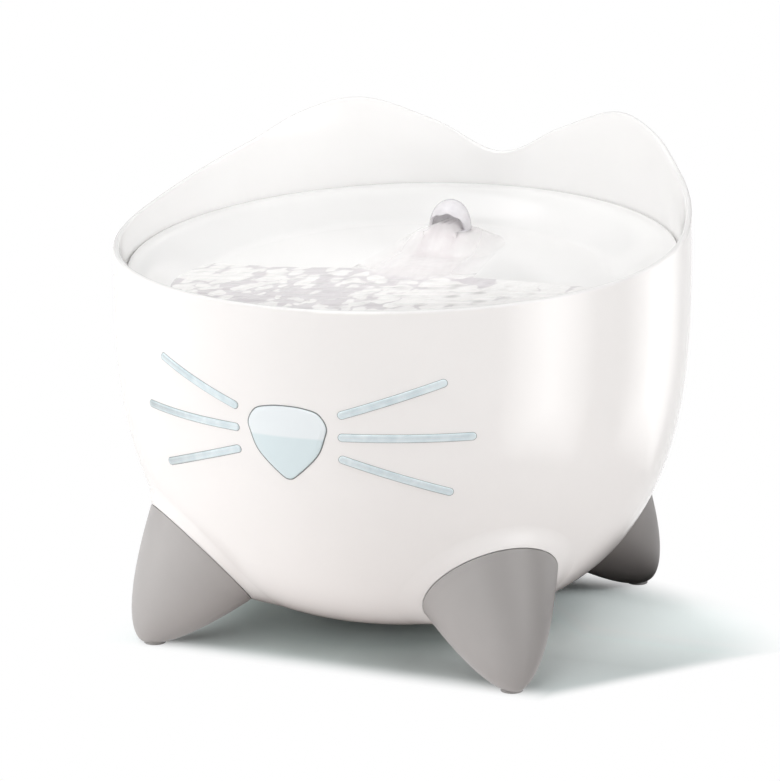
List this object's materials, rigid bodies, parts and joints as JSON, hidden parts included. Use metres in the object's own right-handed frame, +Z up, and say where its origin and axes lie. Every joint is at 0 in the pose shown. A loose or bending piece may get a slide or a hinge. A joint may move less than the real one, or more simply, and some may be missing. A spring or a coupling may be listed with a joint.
{
  "type": "pet water fountain",
  "caption": "Round white pet water fountain with two ears, splayed grey feet, a clear nose window and whiskers, a tilted drinking dish, a filter cassette and a pump.",
  "frame": {"origin": "on the floor under the vertical axis of the bowl", "axes": "+Z up, -Y out through the nose window at the front, +X to the right of a viewer who faces the nose"},
  "size_m": [0.248, 0.248, 0.2113],
  "materials": {
    "white_shell": "gloss",
    "white_dish": "gloss",
    "foot_grey": "satin",
    "pad_rubber": "matte",
    "seal_rubber": "matte",
    "aqua_clear": "clear gloss",
    "smoky_clear": "clear gloss",
    "tray_plastic": "satin",
    "cassette_plastic": "satin",
    "foam": "open foam",
    "carbon": "granules in fleece",
    "resin": "beads in fleece",
    "pump_plastic": "satin",
    "steel": "brushed",
    "copper": "lacquered wire",
    "board": "lacquered",
    "clear_plastic": "clear gloss",
    "ferrite": "moulded",
    "impeller_plastic": "satin",
    "bush_rubber": "matte"
  },
  "bodies": {
    "bowl": {"reservoir_bowl": "white_shell", "foot_front_left": "foot_grey", "foot_front_right": "foot_grey", "foot_rear_left": "foot_grey", "foot_rear_right": "foot_grey", "foot_screws": "steel", "foot_pads": "pad_rubber", "nose_window": "aqua_clear", "nose_seal": "seal_rubber", "whisker_left_top": "aqua_clear", "whisker_left_middle": "aqua_clear", "whisker_left_bottom": "aqua_clear", "whisker_right_top": "aqua_clear", "whisker_right_middle": "aqua_clear", "whisker_right_bottom": "aqua_clear", "cable_grommet": "pad_rubber"},
    "dish": {"drinking_dish": "white_dish"},
    "hood": {"spout_hood": "smoky_clear"},
    "tray": {"filter_tray": "tray_plastic"},
    "cassette": {"filter_frame": "cassette_plastic", "filter_foam": "foam", "filter_carbon": "carbon", "filter_resin": "resin"},
    "pump": {"pump_housing": "pump_plastic", "motor_end_cap": "pump_plastic", "stator_core": "steel", "motor_coil": "copper", "led_board": "board", "led_lens": "clear_plastic", "cable_gland": "bush_rubber", "suction_cups": "seal_rubber", "riser_tube": "clear_plastic", "tube_seal": "seal_rubber"},
    "cover": {"pump_cover": "pump_plastic", "intake_foam": "foam", "front_bush": "bush_rubber"},
    "shaft": {"rotor_shaft": "steel", "rear_bush": "bush_rubber"},
    "rotor": {"impeller": "impeller_plastic", "rotor_magnet": "ferrite"}
  },
  "joints": [
    {"name": "dish_lift", "type": "slide", "parent": "bowl", "child": "dish", "axis": [0, 0, 1], "range_m": [0, 0.36]},
    {"name": "pump_lift", "type": "slide", "parent": "bowl", "child": "pump", "axis": [0, 0, 1], "range_m": [0, 0.216]},
    {"name": "cover_pull", "type": "slide", "parent": "pump", "child": "cover", "axis": [0, 1, 0], "range_m": [0, 0.0576]},
    {"name": "rotor_pull", "type": "slide", "parent": "pump", "child": "shaft", "axis": [0, 1, 0], "range_m": [0, 0.0324]},
    {"name": "impeller_spin", "type": "hinge", "parent": "shaft", "child": "rotor", "pos_m": [0, 0.057, 0.038], "axis": [0, 1, 0], "continuous": true},
    {"name": "spout_pull", "type": "slide", "parent": "dish", "child": "hood", "axis": [0, 0, 1], "range_m": [0, 0.06]},
    {"name": "tray_drop", "type": "slide", "parent": "dish", "child": "tray", "axis": [0, 0, -1], "range_m": [0, 0.03]},
    {"name": "cassette_slide", "type": "slide", "parent": "tray", "child": "cassette", "axis": [0, -1, 0], "range_m": [0, 0.062]}
  ],
  "couplings": [
    {"joint": "pump_lift", "follows": "dish_lift", "ratio": 0.6},
    {"joint": "cover_pull", "follows": "dish_lift", "ratio": 0.16},
    {"joint": "rotor_pull", "follows": "dish_lift", "ratio": 0.09}
  ]
}
